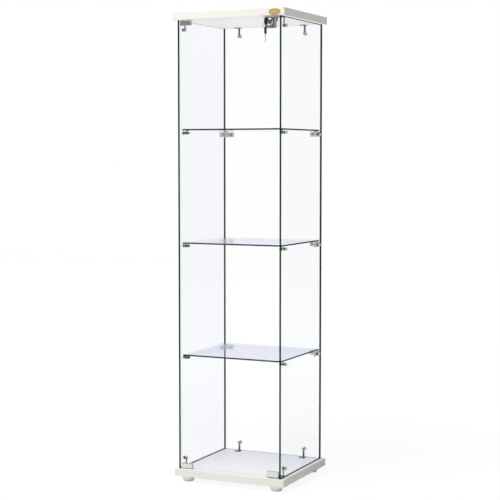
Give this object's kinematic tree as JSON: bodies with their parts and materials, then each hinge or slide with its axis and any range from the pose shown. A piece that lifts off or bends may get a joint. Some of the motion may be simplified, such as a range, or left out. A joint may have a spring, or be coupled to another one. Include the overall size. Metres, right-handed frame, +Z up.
{
  "type": "display case",
  "caption": "Tall glass display case with white top and base boards, glass walls and shelves, a pivoted locking glass door and plastic feet.",
  "frame": {"origin": "on the floor under the middle of the two boards, level with the undersides of the feet", "axes": "+Z up, -Y out of the door, +X to the right seen from the front"},
  "size_m": [0.42, 0.4238, 1.635],
  "materials": {
    "white_board": "satin off-white melamine on chipboard",
    "clear_glass": "clear tempered glass with green-black ground edges",
    "clear_plastic": "translucent soft plastic",
    "pad_rubber": "dark soft rubber",
    "bush_nylon": "natural nylon",
    "catch_plastic": "dark moulded plastic",
    "magnet_iron": "ferrite magnet with steel pole faces",
    "foot_plastic": "pale grey moulded plastic",
    "screw_steel": "zinc-plated steel",
    "clip_metal": "satin nickel on steel",
    "lock_metal": "grey die-cast metal",
    "lock_chrome": "bright chrome plate",
    "latch_steel": "pressed steel",
    "key_plastic": "black moulded plastic",
    "key_steel": "nickel-plated steel",
    "plate_brass": "satin brass",
    "bracket_metal": "grey plated steel"
  },
  "bodies": {
    "cabinet": {"back_glass": "clear_glass", "base_board": "white_board", "base_bracket_back_left": "bracket_metal", "base_bracket_back_right": "bracket_metal", "base_bracket_front_left": "bracket_metal", "base_bracket_front_right": "bracket_metal", "cap_nuts": "bracket_metal", "catch_housing": "catch_plastic", "catch_magnet": "magnet_iron", "clamp_bolts": "bracket_metal", "fixing_screws": "screw_steel", "foot_back_left": "foot_plastic", "foot_back_right": "foot_plastic", "foot_front_left": "foot_plastic", "foot_front_right": "foot_plastic", "foot_screws": "screw_steel", "glass_grommets": "clear_plastic", "left_glass": "clear_glass", "lock_strike_plate": "latch_steel", "lower_corner_bracket_left": "bracket_metal", "lower_corner_bracket_right": "bracket_metal", "lower_front_stud_left": "bracket_metal", "lower_front_stud_right": "bracket_metal", "lower_shelf": "clear_glass", "middle_corner_bracket_left": "bracket_metal", "middle_corner_bracket_right": "bracket_metal", "middle_front_stud_left": "bracket_metal", "middle_front_stud_right": "bracket_metal", "middle_shelf": "clear_glass", "nameplate": "plate_brass", "pivot_bushes": "bush_nylon", "right_glass": "clear_glass", "shelf_pads": "pad_rubber", "stud_pins": "screw_steel", "top_board": "white_board", "top_bracket_back_left": "bracket_metal", "top_bracket_back_right": "bracket_metal", "top_bracket_front_left": "bracket_metal", "top_bracket_front_right": "bracket_metal", "upper_corner_bracket_left": "bracket_metal", "upper_corner_bracket_right": "bracket_metal", "upper_front_stud_left": "bracket_metal", "upper_front_stud_right": "bracket_metal", "upper_shelf": "clear_glass"},
    "door": {"door_glass": "clear_glass", "lower_hinge_clip": "clip_metal", "upper_hinge_clip": "clip_metal", "pivot_pins": "screw_steel", "door_liners": "clear_plastic", "grub_screws": "screw_steel", "strike_clip": "clip_metal", "lock_body": "lock_metal", "lock_bezel": "lock_chrome"},
    "lock_plug": {"lock_plug": "lock_chrome"},
    "lock_latch": {"lock_latch": "latch_steel"},
    "key": {"key_blade": "key_steel", "key_bow": "key_plastic"},
    "key_ring": {"key_ring": "key_steel"},
    "spare_key": {"spare_key_blade": "key_steel", "spare_key_bow": "key_plastic"}
  },
  "joints": [
    {"name": "door_swing", "type": "hinge", "parent": "cabinet", "child": "door", "pos_m": [-0.1815, -0.172, 0.0485], "axis": [0, 0, -1], "range_deg": [0, 105]},
    {"name": "lock_turn", "type": "hinge", "parent": "door", "child": "lock_plug", "pos_m": [0.158, -0.1875, 1.588], "axis": [0, 1, 0], "range_deg": [0, 90]},
    {"name": "latch_lift", "type": "slide", "parent": "door", "child": "lock_latch", "axis": [0, 0, 1], "range_m": [0, 0.0078]},
    {"name": "key_draw", "type": "slide", "parent": "lock_plug", "child": "key", "axis": [0, -1, 0], "range_m": [0, 0.03]},
    {"name": "ring_swing", "type": "hinge", "parent": "key", "child": "key_ring", "pos_m": [0.158, -0.2243, 1.588], "axis": [1, 0, 0], "range_deg": [-70, 20]},
    {"name": "spare_swing", "type": "hinge", "parent": "key_ring", "child": "spare_key", "pos_m": [0.158, -0.2243, 1.5626], "axis": [0.9659, 0.2588, 0], "range_deg": [-45, 20]}
  ],
  "couplings": [
    {"joint": "latch_lift", "follows": "lock_turn", "m_per_rad": 0.0049517}
  ]
}
